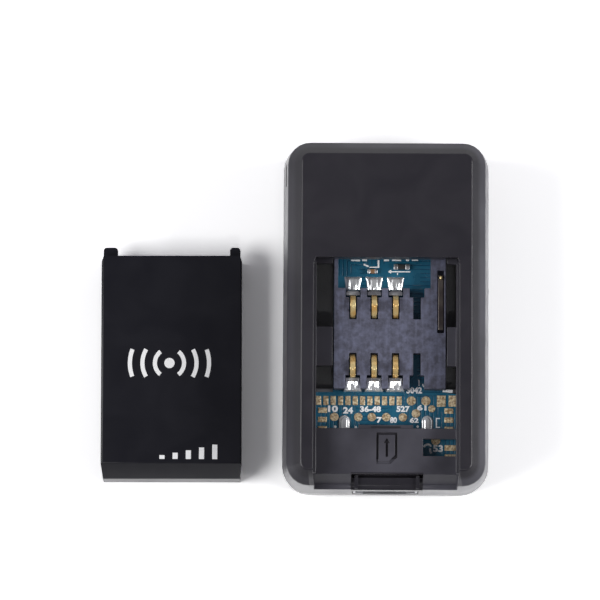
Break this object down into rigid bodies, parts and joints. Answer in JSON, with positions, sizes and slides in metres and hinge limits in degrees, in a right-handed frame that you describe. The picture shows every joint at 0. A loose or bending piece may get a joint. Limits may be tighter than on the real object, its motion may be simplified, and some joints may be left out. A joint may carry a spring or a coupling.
{
  "type": "gps tracker",
  "caption": "Small rectangular tracker with magnets in its base, a card bay under a clip-on cover, a spring-contact card socket, charging port and flat cell; the cover lies beside it.",
  "frame": {"origin": "centre of the flat magnet face, midway between the two magnets", "axes": "+Z out of the front face that the card bay opens in, +Y away from the latch and port end, +X to the right seen from the front"},
  "size_m": [0.0465, 0.0422, 0.014],
  "materials": {
    "case_upper": "fine matt moulded",
    "case_lower": "fine matt moulded",
    "cover_plastic": "smooth moulded",
    "magnet_metal": "nickel plated",
    "adhesive": "adhesive sheet",
    "cell_foil": "laminated foil",
    "guard_board": "solder mask",
    "foam": "closed-cell foam",
    "red_sleeve": "wire insulation",
    "black_sleeve": "wire insulation",
    "board_mask": "blue-green solder mask",
    "pad_gold": "flash gold over nickel",
    "socket_plastic": "glass-filled moulded",
    "spring_gold": "gold plated spring bronze",
    "tinned": "tin plated",
    "solder": "reflowed solder",
    "detect_bronze": "plated spring bronze",
    "shell_steel": "plated sheet steel",
    "port_plastic": "natural glass-filled moulded",
    "shield_tin": "tin plated sheet",
    "chip_epoxy": "moulded package",
    "ceramic": "fired ceramic",
    "mic_can": "gold plated can",
    "crystal_can": "plated can",
    "small_part": "fired ceramic"
  },
  "bodies": {
    "tracker": {"top_housing": "case_upper", "bottom_housing": "case_lower", "magnet_far": "magnet_metal", "magnet_near": "magnet_metal", "cell_tape": "adhesive", "battery_cell": "cell_foil", "cell_guard_board": "guard_board", "cell_foam": "foam", "red_lead": "red_sleeve", "black_lead": "black_sleeve", "main_board": "board_mask", "gold_pads": "pad_gold", "socket_frame": "socket_plastic", "contact_tails": "tinned", "tail_solder": "solder", "port_shell": "shell_steel", "port_tongue": "port_plastic", "port_contacts": "spring_gold", "leg_solder": "solder", "radio_shield": "shield_tin", "radio_chip": "chip_epoxy", "chip_antenna": "ceramic", "microphone": "mic_can", "power_chip": "chip_epoxy", "memory_chip": "chip_epoxy", "crystal": "crystal_can", "small_chips": "small_part"},
    "cover": {"cover_panel": "cover_plastic"},
    "spring_far_1": {"contact_far_1": "spring_gold"},
    "spring_far_2": {"contact_far_2": "spring_gold"},
    "spring_far_3": {"contact_far_3": "spring_gold"},
    "spring_near_1": {"contact_near_1": "spring_gold"},
    "spring_near_2": {"contact_near_2": "spring_gold"},
    "spring_near_3": {"contact_near_3": "spring_gold"},
    "detect_arm": {"card_detect_spring": "detect_bronze"}
  },
  "joints": [
    {"name": "cover_lift", "type": "slide", "parent": "tracker", "child": "cover", "axis": [0, 0, 1], "range_m": [0, 0.02]},
    {"name": "contact_far_1_press", "type": "hinge", "parent": "tracker", "child": "spring_far_1", "pos_m": [-0.00396, 0.00223, 0.0106], "axis": [1, 0, 0], "range_deg": [0, 18], "stiffness_Nm_per_rad": 0.0013},
    {"name": "contact_far_2_press", "type": "hinge", "parent": "tracker", "child": "spring_far_2", "pos_m": [-0.00142, 0.00223, 0.0106], "axis": [1, 0, 0], "range_deg": [0, 18], "stiffness_Nm_per_rad": 0.0013},
    {"name": "contact_far_3_press", "type": "hinge", "parent": "tracker", "child": "spring_far_3", "pos_m": [0.00112, 0.00223, 0.0106], "axis": [1, 0, 0], "range_deg": [0, 18], "stiffness_Nm_per_rad": 0.0013},
    {"name": "contact_near_1_press", "type": "hinge", "parent": "tracker", "child": "spring_near_1", "pos_m": [-0.00396, -0.00747, 0.0106], "axis": [-1, 0, 0], "range_deg": [0, 18], "stiffness_Nm_per_rad": 0.0013},
    {"name": "contact_near_2_press", "type": "hinge", "parent": "tracker", "child": "spring_near_2", "pos_m": [-0.00142, -0.00747, 0.0106], "axis": [-1, 0, 0], "range_deg": [0, 18], "stiffness_Nm_per_rad": 0.0013},
    {"name": "contact_near_3_press", "type": "hinge", "parent": "tracker", "child": "spring_near_3", "pos_m": [0.00112, -0.00747, 0.0106], "axis": [-1, 0, 0], "range_deg": [0, 18], "stiffness_Nm_per_rad": 0.0013},
    {"name": "card_detect_press", "type": "hinge", "parent": "tracker", "child": "detect_arm", "pos_m": [0.00648, -0.00187, 0.01105], "axis": [-1, 0, 0], "range_deg": [0, 3], "stiffness_Nm_per_rad": 0.006}
  ]
}
